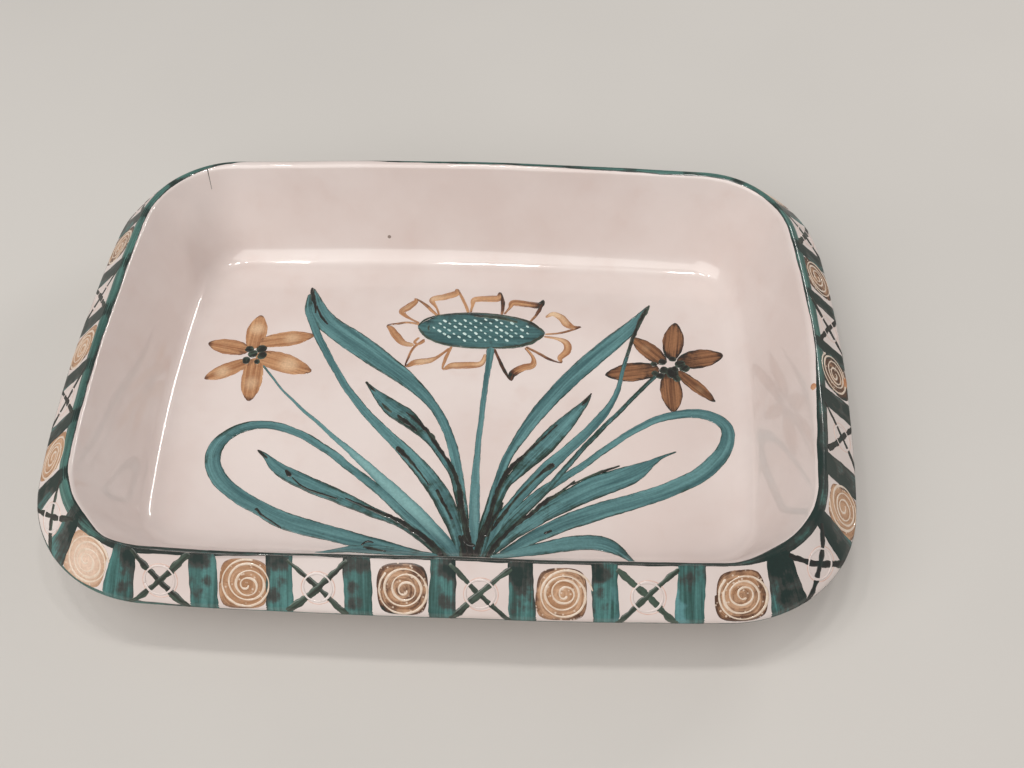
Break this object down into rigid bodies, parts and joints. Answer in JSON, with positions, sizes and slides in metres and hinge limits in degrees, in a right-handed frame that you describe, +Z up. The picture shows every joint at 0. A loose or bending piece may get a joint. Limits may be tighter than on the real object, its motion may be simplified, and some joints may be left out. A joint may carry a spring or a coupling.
{
  "type": "rectangular serving dish",
  "caption": "Rectangular glazed earthenware serving dish with rounded corners, sloping walls, a turned-down painted rim and a painted floor.",
  "frame": {"origin": "centre of the dish on the plane its foot stands on", "axes": "+X along the dish towards its right-hand end, +Y across it towards the back, the side away from where the painted stems spring, +Z up"},
  "size_m": [0.372, 0.27, 0.058],
  "materials": {
    "earthenware": "bare fired clay, matt",
    "white_glaze": "glossy warm white tin glaze with pinholes",
    "teal_paint": "brushed colour under a glossy glaze",
    "dark_teal_paint": "thick brushed colour under a glossy glaze",
    "tan_paint": "thin brushed colour under a glossy glaze",
    "brown_paint": "brushed colour under a glossy glaze"
  },
  "bodies": {
    "root": {"clay_floor": "earthenware", "clay_wall": "earthenware", "clay_rim": "earthenware", "foot_ring": "earthenware", "inner_glaze": "white_glaze", "rim_glaze": "white_glaze", "under_glaze": "white_glaze", "rim_band": "teal_paint", "edge_line": "teal_paint", "frieze_bars": "dark_teal_paint", "frieze_crosses": "dark_teal_paint", "frieze_discs": "tan_paint", "foliage": "teal_paint", "seed_disc": "dark_teal_paint", "middle_petals": "tan_paint", "left_petals": "tan_paint", "right_petals": "brown_paint", "left_stamens": "dark_teal_paint", "right_stamens": "dark_teal_paint"}
  },
  "joints": []
}
